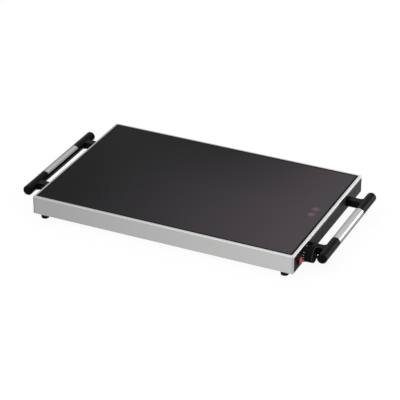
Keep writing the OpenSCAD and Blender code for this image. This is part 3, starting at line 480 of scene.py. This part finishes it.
copper = Mat("drawn_copper", (0.72, 0.36, 0.22), 0.30, 1.0)
copper.tint(copper.noise(120.0, 4.0), 0.18)
copper.gloss(copper.noise(120.0, 4.0), 0.08)
copper.bump(copper.noise(600.0, 2.0), 0.08, 0.00004)
dress(copper, "sensor_bulb")

# ---- rubber feet ----

foot = Mat("foot_rubber", (0.004, 0.004, 0.0043), 0.60, Specular_IOR_Level=0.08)
foot.tint(foot.noise(220.0, 4.0), 0.30)
foot.gloss(foot.noise(160.0, 4.0), 0.10)
foot.bump(foot.noise(1500.0, 3.0), 0.30, 0.00008)
dress(foot, "left_front_foot", "left_rear_foot", "right_front_foot", "right_rear_foot")

# ---- heater ----

track = Mat("resistive_film", (0.055, 0.054, 0.058), 0.48, 0.6)
track.tint(track.noise(500.0, 4.0), 0.25)
track.bump(track.noise(1400.0, 3.0), 0.20, 0.00004)
dress(track, "heating_track")

mica = Mat("mica_flakes", (0.50, 0.39, 0.25), 0.36, Specular_IOR_Level=0.6)
mica.tint(mica.cells(140.0, "Color"), 0.22)
mica.gloss(mica.cells(140.0), 0.12, 0.0, 0.8)
mica.bump(mica.cells(140.0), 0.12, 0.0001)
dress(mica, "mica_sheet")

felt = Mat("felted_fibre", (0.80, 0.78, 0.71), 0.95, Sheen_Weight=0.3)
fibres = felt.noise(1.0, 5.0, felt.scaled((140, 700, 700)), 0.7)
felt.tint(fibres, 0.14)
felt.bump(fibres, 0.6, 0.0008)
felt.bump(felt.noise(26.0, 3.0), 0.4, 0.002)
dress(felt, "insulation_blanket")

ceramic = Mat("bisque_ceramic", (0.78, 0.75, 0.68), 0.70)
ceramic.tint(ceramic.noise(240.0, 4.0), 0.06)
ceramic.bump(ceramic.noise(1100.0, 3.0), 0.20, 0.0001)
dress(ceramic, "terminal_block", "lamp_holder", "thermal_fuse")

lamp = Mat("lamp_lens", (0.75, 0.16, 0.08), 0.22, Transmission_Weight=0.35, Emission_Strength=0.6)
lamp.bsdf.inputs["Emission Color"].default_value = (0.8, 0.12, 0.05, 1.0)
lamp.tint(lamp.noise(500.0, 2.0), 0.10)
lamp.bump(lamp.cells(1800.0), 0.15, 0.0001)
dress(lamp, "pilot_lamps")

lead = Mat("lead_sleeve", (0.42, 0.050, 0.035), 0.42)
lead.tint(lead.noise(300.0, 3.0), 0.15)
lead.gloss(lead.noise(500.0, 3.0), 0.08)
lead.bump(lead.noise(1400.0, 2.0), 0.15, 0.00005)
dress(lead, "wiring")

# ---- floor, world and lights ----


def seen_directly(tree):
    """1 for rays from the camera, and for those that metal and glass send on."""
    rays = tree.nodes.new("ShaderNodeLightPath")
    either = rays.outputs["Is Camera Ray"]
    for name in ("Is Glossy Ray", "Is Transmission Ray"):
        most = tree.nodes.new("ShaderNodeMath")
        most.operation = "MAXIMUM"
        tree.links.new(either, most.inputs[0])
        tree.links.new(rays.outputs[name], most.inputs[1])
        either = most.outputs[0]
    return either


FLOOR_SIZE = 30.0
PAPER = (0.90, 0.90, 0.90, 1.0)
WHITE = (1.0, 1.0, 1.0, 1.0)
WHITE_SHARE = 0.93
SKY_LEVEL = 0.95
floor_mesh = bpy.data.meshes.new("floor")
half = FLOOR_SIZE / 2
floor_corners = [(-half, -half, 0), (half, -half, 0), (half, half, 0), (-half, half, 0)]
floor_mesh.from_pydata(floor_corners, [], [(0, 1, 2, 3)])
floor = bpy.data.objects.new("floor", floor_mesh)
bpy.context.scene.collection.objects.link(floor)

paper = bpy.data.materials.new("floor")
paper.use_nodes = True
tree = paper.node_tree
tree.nodes.clear()
out = tree.nodes.new("ShaderNodeOutputMaterial")
blend = tree.nodes.new("ShaderNodeMixShader")
diffuse = tree.nodes.new("ShaderNodeBsdfDiffuse")
diffuse.inputs["Color"].default_value = PAPER
glow_white = tree.nodes.new("ShaderNodeEmission")
glow_white.inputs["Color"].default_value = WHITE
glow_white.inputs["Strength"].default_value = 1.0
share = tree.nodes.new("ShaderNodeMath")
share.operation = "MULTIPLY"
share.inputs[1].default_value = WHITE_SHARE
tree.links.new(seen_directly(tree), share.inputs[0])
tree.links.new(share.outputs[0], blend.inputs[0])
tree.links.new(diffuse.outputs[0], blend.inputs[1])
tree.links.new(glow_white.outputs[0], blend.inputs[2])
tree.links.new(blend.outputs[0], out.inputs[0])
floor_mesh.materials.append(paper)

world = bpy.data.worlds.new("world")
bpy.context.scene.world = world
world.use_nodes = True
tree = world.node_tree
background = tree.nodes["Background"]
level = tree.nodes.new("ShaderNodeMapRange")
level.inputs["To Min"].default_value = SKY_LEVEL
level.inputs["To Max"].default_value = 1.0
tree.links.new(seen_directly(tree), level.inputs["Value"])
tree.links.new(level.outputs["Result"], background.inputs["Strength"])
background.inputs["Color"].default_value = WHITE


def softbox(name, place, aim, size, watts):
    data = bpy.data.lights.new(name, "AREA")
    data.shape = "RECTANGLE"
    data.size, data.size_y = size
    data.energy = watts
    made = bpy.data.objects.new(name, data)
    made.location = place
    made.rotation_euler = (Vector(aim) - Vector(place)).to_track_quat("-Z", "Y").to_euler()
    bpy.context.scene.collection.objects.link(made)


softbox("key", (-1.2, -2.2, 2.6), (0, 0, 0), (2.0, 1.6), 18.0)
softbox("fill", (2.6, -1.0, 1.05), (0, 0, 0), (1.2, 1.0), 12.0)
softbox("kicker", (1.8, 2.15, 0.46), (0.3, 0, 0.03), (1.1, 0.75), 8.0)
softbox("rim", (-0.6, 1.8, 3.0), (0, 0, 0), (2.4, 1.2), 8.0)
